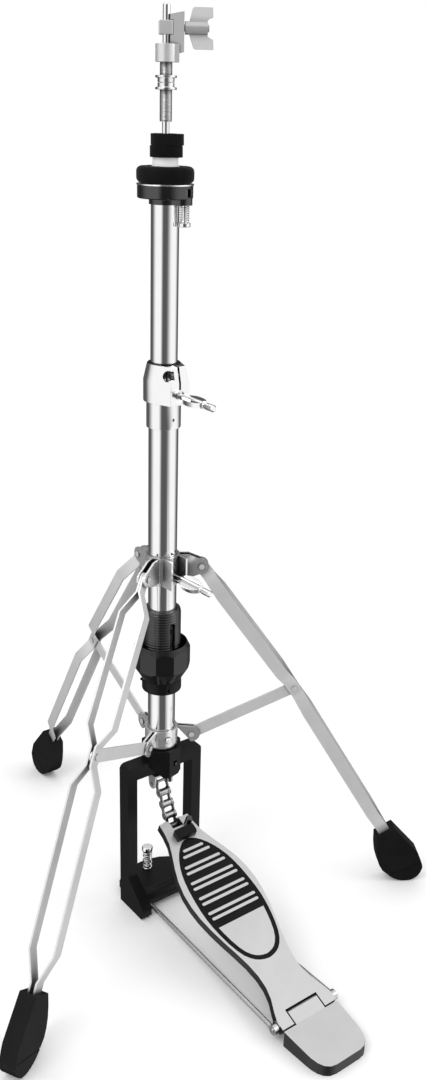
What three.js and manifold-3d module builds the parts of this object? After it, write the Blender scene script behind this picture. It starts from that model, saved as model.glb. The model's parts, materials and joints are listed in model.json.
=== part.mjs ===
// Hi-hat stand: a folding tripod on a telescopic tube, a pull rod with clutch,
// and a chain-driven footboard in a cast frame.
// Millimetres, +Z up. The origin is on the floor under the tube axis, and the pedal points to -Y.
import * as THREE from 'three';
import { mergeVertices } from 'three/addons/utils/BufferGeometryUtils.js';
import Module from 'manifold-3d';

const wasm = await Module();
wasm.setup();

// ---------------------------------------------------------------- driving dimensions

const GAP = 0.3; // clearance between neighbouring parts

const ROD = { radius: 3.2, top: 899, joint: 440, lowerRadius: 2.6, bottom: 149.5 };
const UPPER_TUBE = { radius: 12.7, wall: 1.2, bottom: 490, top: 743 };
const LOWER_TUBE = { radius: 14.3, wall: 1.1, bottom: 166, top: 586 };
const TUBE_BORE = LOWER_TUBE.radius + GAP; // bore of every collar on the lower tube
const ROUND = 20; // facets of a tube or collar

const FRAME = { halfWidth: 47.5, halfDepth: 8, postWidth: 12, top: 175, barHeight: 16 };
const HUB = { inradius: 20.6, bottom: 157, top: 189, twist: 12 };
const BASE = { footFront: -36, footHeight: 22, plateTop: 9, barrelY: -18, barrelZ: 10, barrelRadius: 8 };

const HINGE = { y: -244.5, z: 14.5, radius: 2.6 }; // heel pin that the footboard turns on
const BOARD_SLOPE = 20.8; // degrees at rest
const BOARD_TOP = 6.2; // footboard's top face above the heel pin, along its own normal
const TOE_PIN = { along: 236.3, normal: -3.1 };
const HEEL = { halfWidth: 33.6, front: -254.4, back: -307, frontHeight: 17.4, backHeight: 11.6, wall: 5 };

const RADIUS_ROD = { x: 37.2, radius: 2.3, footY: -29, footZ: 11 };

const CHAIN_PITCH = 12.7;
const CHAIN_TOP = 141; // height of the clevis pin

const TRIPOD_TURN = -1.4; // the tripod stands slightly turned on the tube
const LEG_ANGLES = { a: 210, b: 90, c: 330 };
const LEG = {
  topR: 38.9, topZ: 393.2, midR: 140.1, midZ: 251.4, lowerLength: 233, lowerLean: 31,
  width: 13, sheet: 2, spread: 13, footEntry: 211,
};
const BRACE = { lowR: 31.9, lowZ: 199.6, width: 13, sheet: 2 };
const RIVET = { radius: 2, head: 3, headHeight: 1.1 };

const SLEEVE = { radius: 19.4, baseRadius: 20.5, bottom: 256.5, shoulder: 269, top: 347.5 };
const SLOT = { halfWidth: 3, bottom: 283, top: 336 }; // through the tube and the sleeve, front to back
const NUT = { radius: 29.5, bottom: 269.3, widest: 283, top: 310, floor: 286, bowl: 26 };
const SPRING_SEAT = { pinZ: 288.3, pinRadius: 2, pinReach: 24.5, top: 298 };
const RETURN_SPRING = { bottom: 298.3, top: 384, radius: 10, wire: 1.1, turns: 7 };

const CLAMP = { bottom: 562.5, shoulder: 583, top: 598, radius: 19.3, boss: 10.4, front: -26.4, bevel: 3.4 };
const CLAMP_SKIRT = { bottom: 537, radius: 16.4 };
const CLAMP_SLIT = { halfWidth: 1, bottom: 577 };
const CLAMP_SCREW = { angle: -90, z: 571, tip: 15.3, shaft: 18.7, roll: 5 };
const CLAMP_KEY = { y: -21.6, z: 590 };

const LOWER_COLLAR = { radius: 17.3, bottom: 190.5, top: 210.5, ear: 9 };
const LOWER_SCREW = { angle: -98, z: 200.6 };
const UPPER_COLLAR = { radius: 17.2, bottom: 377, top: 407, ear: 7.4, lip: 9, lipReach: 27 };
const TRIPOD_SCREW = { angle: -85, z: 388, tip: 15.1, shaft: 15, roll: 26 };

const SEAT = { radius: 24.8, bottom: 744, top: 754.8, bossBottom: 739, bossRadius: 14.4 };
const TILT_SCREW = { turn: -60, radius: 18.8, headBottom: 720.5, headTop: 724, top: 753 };
const WASHER = { radius: 25.4, bottom: 755.1, top: 756.4, bore: 8.4 };
const FELT = { radius: 25.6, bottom: 756.7, top: 771, round: 2.6, bore: 12.6 };
const NYLON = {
  radius: 11.3, body: 12.2, stem: 8, bore: 6.4, bottom: 755.4, step: 756.8, shoulder: 771, top: 778,
};
const LOOSE_FELT = { radius: 14.5, bore: 7.2, height: 9.4, bottom: 778.3, turn: -34.6, offsets: [0.7, 1.5] };

const CLUTCH = {
  turn: -32, tubeBottom: 807, tubeRadius: 5.15, collar: 9.2, collarBottom: 854, collarTop: 868,
};
const CLUTCH_ARM = { from: 3, to: 14.8, halfDepth: 4.5, top: 893 };
const EYE = { bottom: 875, top: 886, back: -6.3, front: 5.5, halfDepth: 5, shaftRadius: 2.8, shaftEnd: 36 };
const LOCK_NUTS = { middle: 838, height: 5.6, radius: 7.2, flange: 9.2 };

// ---------------------------------------------------------------- materials

const finishes = {
  chrome: { color: 0xd9dbde, roughness: 0.12, metalness: 1.0 },
  steel: { color: 0xb9bcc0, roughness: 0.35, metalness: 1.0 },
  alloy: { color: 0xc7c9cb, roughness: 0.38, metalness: 0.9 },
  blackCast: { color: 0x1c1d1f, roughness: 0.5, metalness: 0.2 },
  blackPlastic: { color: 0x1a1a1b, roughness: 0.55, metalness: 0.0 },
  rubber: { color: 0x161616, roughness: 0.8, metalness: 0.0 },
  felt: { color: 0x0c0c0d, roughness: 1.0, metalness: 0.0 },
  nylon: { color: 0xe9e9e6, roughness: 0.5, metalness: 0.0 },
  blackSteel: { color: 0x3a3b3d, roughness: 0.35, metalness: 0.9 },
};

// ---------------------------------------------------------------- geometry helpers

const rad = THREE.MathUtils.degToRad;
const polar = (radius, degrees) => [radius * Math.cos(rad(degrees)), radius * Math.sin(rad(degrees))];
const vector = (point) => new THREE.Vector3(...point);
const UP = new THREE.Vector3(0, 0, 1);

// Keeps only positions, with shared corners merged and collapsed triangles dropped.
function cleaned(geometry) {
  geometry.deleteAttribute('normal');
  geometry.deleteAttribute('uv');
  const merged = mergeVertices(geometry, 1e-4);
  const old = merged.index.array;
  const kept = [];
  for (let i = 0; i < old.length; i += 3) {
    const [a, b, c] = [old[i], old[i + 1], old[i + 2]];
    if (a !== b && b !== c && c !== a) kept.push(a, b, c);
  }
  merged.setIndex(kept);
  return merged;
}

// A closed geometry as a manifold solid, for joining and cutting.
function solid(geometry) {
  return new wasm.Manifold(new wasm.Mesh({
    numProp: 3,
    vertProperties: new Float32Array(geometry.attributes.position.array),
    triVerts: new Uint32Array(geometry.index.array),
  }));
}

function geometryOf(manifold) {
  const mesh = manifold.getMesh();
  const geometry = new THREE.BufferGeometry();
  geometry.setAttribute('position', new THREE.BufferAttribute(new Float32Array(mesh.vertProperties), 3));
  geometry.setIndex(new THREE.BufferAttribute(new Uint32Array(mesh.triVerts), 1));
  geometry.computeVertexNormals();
  return geometry;
}

// Joins the first list and cuts the second from it.
function carve(adds, cuts = []) {
  let body = solid(adds[0]);
  for (const piece of adds.slice(1)) body = body.add(solid(piece));
  for (const piece of cuts) body = body.subtract(solid(piece));
  return geometryOf(body);
}

const common = (first, second) => geometryOf(solid(first).intersect(solid(second)));

// A solid of revolution about +Z from [radius, height] points that close on themselves.
function turned(points, segments = 24) {
  const closed = [...points, points[0]].map(([r, z]) => new THREE.Vector2(r, z));
  return cleaned(new THREE.LatheGeometry(closed, segments)).rotateX(Math.PI / 2);
}

const disc = (radius, bottom, top, segments = 24) =>
  turned([[0, bottom], [radius, bottom], [radius, top], [0, top]], segments);

const ring = (inner, outer, bottom, top, segments = 24) =>
  turned([[inner, bottom], [outer, bottom], [outer, top], [inner, top]], segments);

// A bar of round section between two points.
function bar(from, to, radius, segments = 12) {
  const start = vector(from);
  const along = vector(to).sub(start);
  const turn = new THREE.Quaternion().setFromUnitVectors(UP, along.clone().normalize());
  return disc(radius, 0, along.length(), segments).applyQuaternion(turn).translate(...start.toArray());
}

// A box from its lowest and highest corners.
function block(low, high) {
  const size = high.map((value, i) => value - low[i]);
  const middle = high.map((value, i) => (value + low[i]) / 2);
  return cleaned(new THREE.BoxGeometry(...size)).translate(...middle);
}

const shapeOf = (points) => new THREE.Shape(points.map(([x, y]) => new THREE.Vector2(x, y)));

// A flat outline of [x, y] points, or a Shape, raised from one height to another.
function prism(outline, bottom, top) {
  const shape = outline instanceof THREE.Shape ? outline : shapeOf(outline);
  const options = { depth: top - bottom, bevelEnabled: false, curveSegments: 5 };
  return cleaned(new THREE.ExtrudeGeometry(shape, options)).translate(0, 0, bottom);
}

// A bar with round ends between two points of a plane.
function stadium(from, to, radius) {
  const angle = Math.atan2(to[1] - from[1], to[0] - from[0]);
  const shape = new THREE.Shape();
  shape.absarc(...to, radius, angle - Math.PI / 2, angle + Math.PI / 2, false);
  shape.absarc(...from, radius, angle + Math.PI / 2, angle + 1.5 * Math.PI, false);
  return shape;
}

// Stands a prism up, so that its own Y becomes +Z and its depth runs towards -Y.
const upright = (geometry) => geometry.rotateX(Math.PI / 2);

// Stands a prism up, so that its own X runs along +Y, its own Y along +Z and its depth along X.
const sideways = (geometry) => geometry.rotateX(Math.PI / 2).rotateZ(Math.PI / 2);

// A round wire along a curve.
function wire(points, radius, sides, steps) {
  const path = new THREE.CatmullRomCurve3(points.map(vector), false, 'catmullrom');
  const section = shapeOf(Array.from({ length: sides }, (_, i) => polar(radius, (360 * i) / sides)));
  return cleaned(new THREE.ExtrudeGeometry(section, { extrudePath: path, steps, bevelEnabled: false }));
}

// A compression spring about +Z.
function coil(radius, wireRadius, bottom, top, turns, perTurn = 7) {
  const low = bottom + wireRadius;
  const rise = top - bottom - 2 * wireRadius;
  const count = Math.round(turns * perTurn);
  const points = [];
  for (let i = 0; i <= count; i += 1) {
    points.push([...polar(radius, (360 * turns * i) / count), low + (rise * i) / count]);
  }
  return wire(points, wireRadius, 4, count);
}

const stand = new THREE.Group();

function part(name, geometry, finish, parent = stand) {
  const mesh = new THREE.Mesh(geometry, new THREE.MeshStandardMaterial(finishes[finish]));
  mesh.name = name;
  parent.add(mesh);
  return mesh;
}

function turnedGroup(degrees) {
  const group = new THREE.Group();
  group.rotation.z = rad(degrees);
  stand.add(group);
  return group;
}

// ---------------------------------------------------------------- cast frame

function octagon(inradius, twist) {
  const corner = inradius / Math.cos(rad(22.5));
  return Array.from({ length: 8 }, (_, i) => polar(corner, 22.5 + twist + 45 * i));
}

// The hub is an octagon whose underside is rounded off across the frame.
function frameHub() {
  const { inradius, bottom, top, twist } = HUB;
  const side = inradius + 3;
  const half = [[9, bottom], [side, bottom + 15], [side, top]];
  const front = [...half, ...half.map(([x, z]) => [-x, z]).reverse()];
  const outline = upright(prism(front, -side, side));
  return common(prism(octagon(inradius, twist), bottom, top), outline);
}

function frameArch() {
  const { halfWidth: w, halfDepth: d, postWidth, top, barHeight } = FRAME;
  const round = 6;
  const outer = new THREE.Shape();
  outer.moveTo(-w, 0);
  outer.lineTo(w, 0);
  outer.absarc(w - round, top - round, round, 0, Math.PI / 2, false);
  outer.absarc(-w + round, top - round, round, Math.PI / 2, Math.PI, false);
  const inner = w - postWidth;
  const window = block([-inner, -2 * d, -1], [inner, 2 * d, top - barHeight]);
  return carve([upright(prism(outer, -d, d))], [window]);
}

// Each foot runs forward from a post, with a sloping nose.
function frameFoot(side) {
  const { footFront, footHeight } = BASE;
  const outline = [
    [-FRAME.halfDepth, 0], [-footFront - 3, 0], [-footFront, 3], [-footFront, 13],
    [-footFront - 8, footHeight], [FRAME.halfDepth, footHeight + 16], [-FRAME.halfDepth, footHeight + 16],
  ].map(([forward, z]) => [-forward, z]);
  const inner = FRAME.halfWidth - FRAME.postWidth;
  return sideways(prism(outline, 0, FRAME.postWidth)).translate(side > 0 ? inner : -FRAME.halfWidth, 0, 0);
}

// A flat apron between the feet rests on the floor and carries the anchor spur.
function frameApron() {
  const inner = FRAME.halfWidth - FRAME.postWidth;
  const shape = new THREE.Shape();
  shape.moveTo(-inner - 2, -3);
  shape.lineTo(inner + 2, -3);
  shape.lineTo(inner + 2, 26);
  shape.quadraticCurveTo(0, 54, -inner - 2, 26);
  return prism(shape, 0, BASE.plateTop);
}

function pedalFrame() {
  const { barrelY, barrelZ, barrelRadius } = BASE;
  const { footY, footZ } = RADIUS_ROD;
  const inner = FRAME.halfWidth - FRAME.postWidth + 1;
  const adds = [frameArch(), frameHub(), frameFoot(-1), frameFoot(1), frameApron(),
    bar([-inner, barrelY, barrelZ], [inner, barrelY, barrelZ], barrelRadius, 14)];
  const [kx, ky] = polar(1, -90 + HUB.twist);
  const cuts = [
    disc(TUBE_BORE, LOWER_TUBE.bottom - GAP, 300, ROUND),
    disc(8, 100, 300, 16),
    bar([14 * kx, 14 * ky, 172], [30 * kx, 30 * ky, 172], 3.3, 10),
    disc(3.4, -5, 20, 12).translate(0, 26, 0),
    ...[-1, 1].map((side) => {
      const at = (x) => [side * x, footY, footZ];
      return bar(at(inner - 2), at(inner + 7.5), 4.2, 10);
    }),
  ];
  return carve(adds, cuts);
}

part('pedal_frame', pedalFrame(), 'blackCast');

function hubKeyScrew() {
  const [kx, ky] = polar(1, -90 + HUB.twist);
  const at = (r) => [r * kx, r * ky, 172];
  return carve([bar(at(15.2), at(19.2), 2.9, 10), bar(at(19), at(22.2), 1.8, 4)]);
}
part('hub_key_screw', hubKeyScrew(), 'chrome');

part('anchor_spur', turned([
  [0, 1], [2.9, 6], [2.9, 33], [5.6, 33], [6.2, 34.5], [6.2, 37.5], [5.2, 38.6], [0, 38.6],
], 14).translate(0, 26, 0), 'chrome');
part('anchor_spring', coil(4.6, 0.7, BASE.plateTop + 0.2, 32.7, 5).translate(0, 26, 0), 'steel');

// ---------------------------------------------------------------- footboard and heel

// Places a piece modelled with X across, Y along the board from the heel pin, Z along its normal.
const onBoard = (geometry) => geometry.rotateX(rad(BOARD_SLOPE)).translate(0, HINGE.y, HINGE.z);

// Half widths of the footboard at stations measured from the heel pin towards the toe.
const BOARD_OUTLINE = [
  [-6.6, 33.6], [4, 33.4], [14, 29.5], [26, 24.6], [38, 22.6], [52, 23], [68, 26], [84, 30.5], [100, 35],
  [118, 39], [134, 41], [150, 41], [166, 38.6], [182, 33.6], [198, 27], [212, 21.6], [226, 19], [238, 18.4],
];

const NOTCH = { halfWidth: 19.5, end: 8.6 };

function smoothOutline(stations, count, grow = 0, from = -Infinity, to = Infinity) {
  const half = new THREE.SplineCurve(stations.map(([y, x]) => new THREE.Vector2(x, y)));
  const right = half.getPoints(count)
    .map((p) => [p.x + grow, p.y])
    .filter(([, y]) => y > from && y < to);
  const left = right.map(([x, y]) => [-x, y]).reverse();
  return [...right, ...left];
}

// Half widths of the grip: an egg that is blunt towards the heel.
const GRIP_OUTLINE = [
  [59, 0], [60.2, 7], [62.6, 12.8], [66.6, 18], [73.6, 23.4], [84, 27.8], [98, 31.5], [112, 34],
  [125, 35.1], [140, 34.7], [157, 33.2], [170, 30.9], [180, 28], [190, 23.6], [199, 18], [206, 11.6],
  [210, 5.6], [211.4, 0],
];
const GRIP_LOW = GRIP_OUTLINE[0][0];

function gripHalfWidth(y) {
  const i = GRIP_OUTLINE.findIndex(([station]) => station >= y);
  const [y0, x0] = GRIP_OUTLINE[i - 1];
  const [y1, x1] = GRIP_OUTLINE[i];
  return x0 + ((x1 - x0) * (y - y0)) / (y1 - y0);
}

// The closed outline, moved outward by grow along its own normals.
function eggOutline(grow = 0, steps = 22) {
  const half = new THREE.SplineCurve(GRIP_OUTLINE.map(([y, x]) => new THREE.Vector2(x, y)));
  const right = half.getPoints(steps).map((p, i, all) => {
    const next = all[Math.min(i + 1, steps)];
    const last = all[Math.max(i - 1, 0)];
    const way = next.clone().sub(last).normalize();
    const ends = i === 0 || i === steps;
    const y = i === 0 ? p.y - grow : p.y + grow;
    return ends ? [0, y] : [p.x + grow * way.y, p.y - grow * way.x];
  });
  return [...right, ...right.slice(1, -1).map(([x, y]) => [-x, y]).reverse()];
}

const RIBS = { first: 198.8, pair: 6.7, pitch: 18.3, pairs: 5, width: 3.2, margin: 5.2 };
function ribPlaces() {
  const places = [];
  for (let i = 0; i < RIBS.pairs; i += 1) {
    for (const y of [RIBS.first - i * RIBS.pitch, RIBS.first - i * RIBS.pitch - RIBS.pair]) {
      places.push([y, gripHalfWidth(y) - RIBS.margin]);
    }
  }
  return places;
}

const ribOutline = (y, half, width) => stadium([-half + width / 2, y], [half - width / 2, y], width / 2);

// The smooth pad at the heel end of the grip is the egg, shrunk and cut off straight.
const PAD = { edge: 108.6, inset: 4.8 };
const padSolid = (inset, bottom, top) => common(
  prism(eggOutline(-inset), bottom, top),
  block([-60, GRIP_LOW - 10, bottom], [60, PAD.edge + PAD.inset - inset, top]),
);

// The casting: a skirted plate with a recess for the grip, raised ribs, a smooth pad,
// a notch for the heel plate's tongue and a slot with two lugs at the toe for the chain.
const SKIRT = 9;
const RECESS = 1.6;
const CHAIN_SLOT = 6.6; // half width of the slot at the toe
const TOE_SCREW = { x: 10.2, along: 226 };
function footboardGeometry() {
  const top = BOARD_TOP;
  const notch = NOTCH.halfWidth;
  const outline = smoothOutline(BOARD_OUTLINE, 18);
  const ears = [-1, 1].map((side) => bar([side * (notch - 1), 0, 0], [side * 34.2, 0, 0], 6.2, 14));
  const lugs = block([-11, 229, TOE_PIN.normal - 4], [11, 240.4, top - 3.2]);
  const hollow = prism(smoothOutline(BOARD_OUTLINE, 18, -3, 14, 222), top - SKIRT - 0.5, top - 4);
  const recess = prism(eggOutline(), top - RECESS, top + 1);
  const ribs = ribPlaces().map(([y, half]) => prism(ribOutline(y, half, RIBS.width), top - 2.1, top + 0.3));
  const cuts = [
    block([-notch, -12, top - 20], [notch, NOTCH.end, top + 2]),
    block([-CHAIN_SLOT, 228, top - 14], [CHAIN_SLOT, 244, top + 2]),
    bar([-40, 0, 0], [40, 0, 0], HINGE.radius + 0.2, 12),
    bar([-12, TOE_PIN.along, TOE_PIN.normal], [12, TOE_PIN.along, TOE_PIN.normal], 1.8, 10),
    disc(2.7, -10, 20, 10).translate(TOE_SCREW.x, TOE_SCREW.along, 0),
  ];
  const plate = carve([prism(outline, top - SKIRT, top), ...ears], [hollow, recess]);
  return carve([plate, lugs, ...ribs, padSolid(PAD.inset, top - 2.1, top)], cuts);
}
part('footboard', onBoard(footboardGeometry()), 'alloy');

// The black grip fills the recess around the ribs and the pad.
function gripGeometry() {
  const low = BOARD_TOP - RECESS + 0.05;
  const sheet = prism(eggOutline(-0.15), low, BOARD_TOP - 0.35);
  const ribs = ribPlaces().map(([y, half]) => (
    prism(ribOutline(y, half + 0.15, RIBS.width + 0.3), low - 1, low + 3)
  ));
  return carve([sheet], [...ribs, padSolid(PAD.inset - 0.15, low - 1, low + 3)]);
}
part('footboard_grip', onBoard(gripGeometry()), 'rubber');

const TOE_BLOCK = { halfWidth: 12, from: 211, to: 221.5, height: 8.5 };
function toeBlock() {
  const { halfWidth, from, to, height } = TOE_BLOCK;
  const low = BOARD_TOP + 0.1;
  const outline = [
    [to, low], [from, low], [from, low + height - 2.5], [from + 2.5, low + height], [to, low + height],
  ];
  return sideways(prism(outline, -halfWidth, halfWidth));
}
part('toe_block', onBoard(toeBlock()), 'blackPlastic');

part('toe_screw', onBoard(turned([
  [0, -10], [2.4, -10], [2.4, 0.1], [4, 0.1], [4, 11], [3, 12.5], [0, 12.5],
].map(([r, z]) => [r, BOARD_TOP + z]), 12).translate(TOE_SCREW.x, TOE_SCREW.along, 0)), 'blackSteel');

part('toe_pin', onBoard(bar(
  [-10.5, TOE_PIN.along, TOE_PIN.normal], [10.5, TOE_PIN.along, TOE_PIN.normal], 1.6, 10,
)), 'steel');

// The heel plate's tongue is a knuckle about the heel pin, cut off flush with the footboard at rest.
function heelTongue() {
  const radius = 8.2;
  const slope = Math.tan(rad(BOARD_SLOPE));
  const flush = BOARD_TOP / Math.cos(rad(BOARD_SLOPE));
  const reach = HEEL.front - HINGE.y;
  const shape = new THREE.Shape();
  shape.moveTo(reach - 4, -radius);
  shape.absarc(0, 0, radius, -Math.PI / 2, rad(69.9), false);
  shape.lineTo(reach, flush + reach * slope);
  shape.lineTo(reach - 4, HEEL.frontHeight - 1 - HINGE.z);
  const half = NOTCH.halfWidth - 1.4;
  return sideways(prism(shape, -half, half)).translate(0, HINGE.y, HINGE.z);
}

// The heel plate is a blunt D in plan and lower at the back, and is hollowed from below.
function heelPlate() {
  const { halfWidth: w, back, front, frontHeight, backHeight, wall } = HEEL;
  const outline = (inset) => {
    const shape = new THREE.Shape();
    const [x, end] = [w - inset, back + inset];
    shape.moveTo(-x, front - inset);
    shape.lineTo(-x + 2, end + 26);
    shape.bezierCurveTo(-x + 2.4, end + 11, -x + 7, end, -x + 19, end);
    shape.lineTo(x - 19, end);
    shape.bezierCurveTo(x - 7, end, x - 2.4, end + 11, x - 2, end + 26);
    shape.lineTo(x, front - inset);
    return shape;
  };
  const length = front - back;
  const drop = Math.atan2(frontHeight - backHeight, length);
  const above = block([-w - 5, -length - 20, 0], [w + 5, 5, 30])
    .rotateX(drop)
    .translate(0, front, frontHeight);
  const hollow = prism(outline(wall), -1, backHeight - wall);
  const plate = carve([prism(outline(0), 0, frontHeight + 1)], [above, hollow]);
  return carve([plate, heelTongue()], [
    bar([-w, HINGE.y, HINGE.z], [w, HINGE.y, HINGE.z], HINGE.radius + 0.2, 12),
  ]);
}
part('heel_plate', heelPlate(), 'alloy');

part('heel_pin', bar([-40.4, HINGE.y, HINGE.z], [40.4, HINGE.y, HINGE.z], HINGE.radius, 12), 'steel');

// Each radius rod runs from an eye on the heel pin to a bent end in the frame's foot.
function radiusRod(side) {
  const { radius, footY, footZ } = RADIUS_ROD;
  const x = side * RADIUS_ROD.x;
  const bendX = side * 32.6;
  const straight = bar([x, HINGE.y + 2, HINGE.z], [bendX, footY - 9, footZ], radius, 8);
  const bend = wire([
    [bendX, footY - 10, footZ], [bendX, footY - 5, footZ], [side * 33.8, footY - 1.3, footZ],
    [side * 37, footY, footZ], [side * 41.5, footY, footZ],
  ], radius, 8, 7);
  const eye = bar([x - 2.4, HINGE.y, HINGE.z], [x + 2.4, HINGE.y, HINGE.z], 5.2, 14);
  const bore = bar([x - 5, HINGE.y, HINGE.z], [x + 5, HINGE.y, HINGE.z], HINGE.radius + 0.2, 12);
  return carve([straight, bend, eye], [bore]);
}
part('radius_rod_left', radiusRod(-1), 'chrome');
part('radius_rod_right', radiusRod(1), 'chrome');

// ---------------------------------------------------------------- pull rod, return spring and chain

part('cymbal_rod', turned([
  [0, ROD.joint + 8], [ROD.radius, ROD.joint + 8], [ROD.radius, ROD.top - 1.5], [ROD.radius - 1.3, ROD.top],
  [0, ROD.top],
], 16), 'chrome');

// The lower rod ends in a coupler that the cymbal rod screws into.
part('spring_rod', carve([
  disc(ROD.lowerRadius, ROD.bottom, ROD.joint, 14),
  disc(5.2, ROD.joint - 14, ROD.joint + 14, 14),
], [disc(ROD.radius + GAP, ROD.joint + 7.7, ROD.joint + 20, 16)]), 'steel');

const SPRING_CAP = { bottom: RETURN_SPRING.top + GAP, height: 6, radius: 10.8 };
part('spring_cap', ring(
  ROD.lowerRadius + GAP, SPRING_CAP.radius, SPRING_CAP.bottom, SPRING_CAP.bottom + SPRING_CAP.height, 20,
), 'steel');

part('return_spring', coil(
  RETURN_SPRING.radius, RETURN_SPRING.wire, RETURN_SPRING.bottom, RETURN_SPRING.top, RETURN_SPRING.turns,
), 'steel');

// A stirrup on the rod's lower end holds the chain's first pin.
const CLEVIS = { top: 153, halfWidth: 12, sheet: 2, halfDepth: 7, eye: 5.4 };
function chainClevis() {
  const { top, halfWidth, sheet, halfDepth, eye } = CLEVIS;
  const outline = new THREE.Shape();
  outline.moveTo(halfDepth, top);
  outline.lineTo(-halfDepth, top);
  outline.absarc(0, CHAIN_TOP, eye, Math.PI, 2 * Math.PI, false);
  const cheeks = [-halfWidth, halfWidth - sheet].map((x) => sideways(prism(outline, x, x + sheet)));
  return carve([
    ...cheeks,
    block([-halfWidth, -halfDepth, top - sheet], [halfWidth, halfDepth, top]),
    bar([-halfWidth - 1.2, 0, CHAIN_TOP], [halfWidth + 1.2, 0, CHAIN_TOP], 1.6, 10),
  ], [disc(ROD.lowerRadius + GAP, top - 5, top + 5, 14)]);
}
part('chain_clevis', chainClevis(), 'chrome');

// ---- chain

const toePin = new THREE.Vector3(0, TOE_PIN.along, TOE_PIN.normal)
  .applyAxisAngle(new THREE.Vector3(1, 0, 0), rad(BOARD_SLOPE))
  .add(new THREE.Vector3(0, HINGE.y, HINGE.z));
const chainStart = new THREE.Vector3(0, 0, CHAIN_TOP);
const chainWay = toePin.clone().sub(chainStart).normalize();

// A waisted plate with round ends, from one pin to the next, at one side of the chain.
function linkPlate(from, thickness) {
  const r = 4.6;
  const [c, s] = polar(r, 35);
  const shape = new THREE.Shape();
  shape.absarc(0, 0, r, rad(35), rad(325), false);
  shape.quadraticCurveTo(CHAIN_PITCH / 2, -2, CHAIN_PITCH - c, -s);
  shape.absarc(CHAIN_PITCH, 0, r, rad(215), rad(505), false);
  shape.quadraticCurveTo(CHAIN_PITCH / 2, 2, c, s);
  return prism(shape, from, from + thickness);
}

// A wide link has outer plates and pins. A narrow link has inner plates and bushes.
function chainLink(wide, pinPlaces, holePlaces) {
  const inside = wide ? 5.8 : 4.3;
  const sheet = 1.2;
  const reach = inside + sheet;
  const plates = [linkPlate(inside, sheet), linkPlate(-reach, sheet)];
  const pins = pinPlaces.map((at) => disc(1.6, -reach - 0.8, reach + 0.8, 8).translate(at, 0, 0));
  const bushes = wide ? [] : holePlaces.map(([at]) => disc(3.9, -reach, reach, 10).translate(at, 0, 0));
  const holes = holePlaces.map(([at, radius]) => (
    disc(radius, -reach - 5, reach + 5, 10).translate(at, 0, 0)
  ));
  return carve([carve([...plates, ...bushes], holes), ...pins]);
}

// Each hole is [place along the link, radius]. The last one is loose on the footboard's pin.
const SNUG = 1.95;
const CHAIN = [
  { wide: true, pins: [CHAIN_PITCH], holes: [[0, SNUG]] },
  { wide: false, pins: [], holes: [[0, SNUG], [CHAIN_PITCH, SNUG]] },
  { wide: true, pins: [0, CHAIN_PITCH], holes: [] },
  { wide: false, pins: [], holes: [[0, SNUG], [CHAIN_PITCH, 2.5]] },
];
const linkBasis = new THREE.Matrix4().makeBasis(
  chainWay, new THREE.Vector3(1, 0, 0).cross(chainWay), new THREE.Vector3(1, 0, 0),
);
CHAIN.forEach(({ wide, pins, holes }, i) => {
  const start = chainStart.clone().addScaledVector(chainWay, i * CHAIN_PITCH);
  const link = chainLink(wide, pins, holes).applyMatrix4(linkBasis).translate(...start.toArray());
  part(`chain_link_${i + 1}`, link, wide ? 'blackSteel' : 'steel');
});

// ---------------------------------------------------------------- lower tube and spring adjuster

// A tall slot through both walls, front and back.
const throughSlot = () => {
  const { halfWidth, bottom, top } = SLOT;
  return upright(prism(stadium([0, bottom + halfWidth], [0, top - halfWidth], halfWidth), -30, 30));
};

part('lower_tube', carve(
  [ring(LOWER_TUBE.radius - LOWER_TUBE.wall, LOWER_TUBE.radius, LOWER_TUBE.bottom, LOWER_TUBE.top, ROUND)],
  [throughSlot()],
), 'chrome');

const radialBar = (angle, z, from, to, radius) =>
  bar([...polar(from, angle), z], [...polar(to, angle), z], radius, 10);

function tensionSleeve() {
  const { radius, baseRadius, bottom, shoulder, top } = SLEEVE;
  const shell = turned([
    [TUBE_BORE, bottom], [baseRadius - 0.6, bottom], [baseRadius, bottom + 1], [baseRadius, shoulder - 0.6],
    [radius, shoulder], [radius, top - 1], [radius - 0.8, top], [TUBE_BORE, top],
  ], ROUND);
  const nub = radialBar(145, 265, 18, 22.2, 1.5);
  const hole = radialBar(-104, 261, 16, 24, 1.5);
  return carve([shell, nub], [throughSlot(), hole]);
}
part('tension_sleeve', tensionSleeve(), 'blackPlastic');

// Ten flat facets under round chamfers, an open bowl inside, and a floor for the spring seat's pin.
function tensionNut() {
  const { radius, bottom, widest, top, floor, bowl } = NUT;
  const facets = 10;
  const corners = Array.from({ length: facets }, (_, i) => polar(radius, 8 + (360 * i) / facets));
  const round = turned([
    [0, bottom], [SLEEVE.baseRadius, bottom], [radius + 0.4, widest + 2], [radius + 0.4, top - 8],
    [radius - 3.4, top], [0, top],
  ], 40);
  return carve([common(prism(corners, bottom, top), round)], [
    disc(bowl - 0.4, floor, top + 1, ROUND), disc(SLEEVE.radius + 0.5, bottom - 1, floor + 1, ROUND),
  ]);
}
part('tension_nut', tensionNut(), 'blackPlastic');

// A disc inside the tube on a cross pin that reaches through the slots to the nut.
function springSeat() {
  const { pinZ, pinRadius, pinReach, top } = SPRING_SEAT;
  return carve([
    disc(LOWER_TUBE.radius - LOWER_TUBE.wall - GAP, pinZ, top, ROUND),
    bar([0, -pinReach, pinZ], [0, pinReach, pinZ], pinRadius),
  ], [disc(ROD.lowerRadius + 0.5, 270, 310, 14)]);
}
part('spring_seat', springSeat(), 'steel');

// ---------------------------------------------------------------- tripod

const tripod = turnedGroup(TRIPOD_TURN);
const legGroups = Object.fromEntries(Object.entries(LEG_ANGLES).map(([key, angle]) => {
  const group = new THREE.Group();
  group.rotation.z = rad(angle);
  tripod.add(group);
  return [key, group];
}));

// In a leg's own frame X is outward from the tube, Y sideways and Z up. A rivet lies along Y.
const rivetBar = (r, z, reach, radius) => bar([r, -reach, z], [r, reach, z], radius, 8);

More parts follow.
